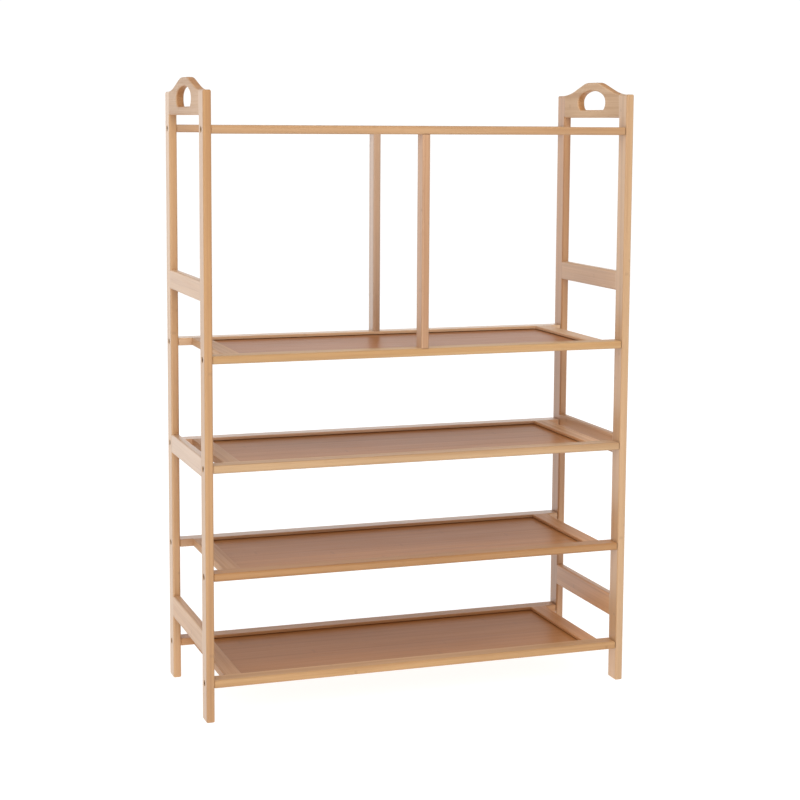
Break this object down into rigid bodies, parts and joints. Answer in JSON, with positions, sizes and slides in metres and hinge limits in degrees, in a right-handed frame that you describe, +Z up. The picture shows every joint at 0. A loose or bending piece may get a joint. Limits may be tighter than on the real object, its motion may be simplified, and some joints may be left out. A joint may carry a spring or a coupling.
{
  "type": "shoe rack",
  "caption": "Tiered bamboo shoe rack: two ladder-like side frames with hand holes hold framed shelves, under an open top bay for boots split by upright dividers.",
  "frame": {"origin": "middle of the footprint, on the floor", "axes": "+X is the width, left to right seen from the front; +Y runs from the front to the back; +Z is up"},
  "size_m": [0.68, 0.26, 0.95],
  "materials": {
    "side_frames": "satin clear varnish on laminated bamboo",
    "shelf_rails": "satin clear varnish on laminated bamboo",
    "panels": "satin clear varnish on thin laminated bamboo board",
    "dowels": "plain turned hardwood",
    "screws": "bronze-toned plated steel"
  },
  "bodies": {
    "root": {"back_divider": "shelf_rails", "divider_screws": "screws", "front_divider": "shelf_rails", "left_back_stile": "side_frames", "left_cap": "side_frames", "left_frame_dowels": "dowels", "left_front_stile": "side_frames", "left_lower_cross_rail": "side_frames", "left_middle_cross_rail": "side_frames", "left_upper_cross_rail": "side_frames", "right_back_stile": "side_frames", "right_cap": "side_frames", "right_frame_dowels": "dowels", "right_front_stile": "side_frames", "right_lower_cross_rail": "side_frames", "right_middle_cross_rail": "side_frames", "right_upper_cross_rail": "side_frames", "shelf_1_back_rail": "shelf_rails", "shelf_1_dowels": "dowels", "shelf_1_front_rail": "shelf_rails", "shelf_1_left_batten": "shelf_rails", "shelf_1_panel": "panels", "shelf_1_right_batten": "shelf_rails", "shelf_1_screws": "screws", "shelf_2_back_rail": "shelf_rails", "shelf_2_dowels": "dowels", "shelf_2_front_rail": "shelf_rails", "shelf_2_left_batten": "shelf_rails", "shelf_2_panel": "panels", "shelf_2_right_batten": "shelf_rails", "shelf_2_screws": "screws", "shelf_3_back_rail": "shelf_rails", "shelf_3_dowels": "dowels", "shelf_3_front_rail": "shelf_rails", "shelf_3_left_batten": "shelf_rails", "shelf_3_panel": "panels", "shelf_3_right_batten": "shelf_rails", "shelf_3_screws": "screws", "shelf_4_back_rail": "shelf_rails", "shelf_4_dowels": "dowels", "shelf_4_front_rail": "shelf_rails", "shelf_4_left_batten": "shelf_rails", "shelf_4_panel": "panels", "shelf_4_right_batten": "shelf_rails", "shelf_4_screws": "screws", "top_back_rail": "shelf_rails", "top_front_rail": "shelf_rails", "top_rail_screws": "screws"}
  },
  "joints": []
}
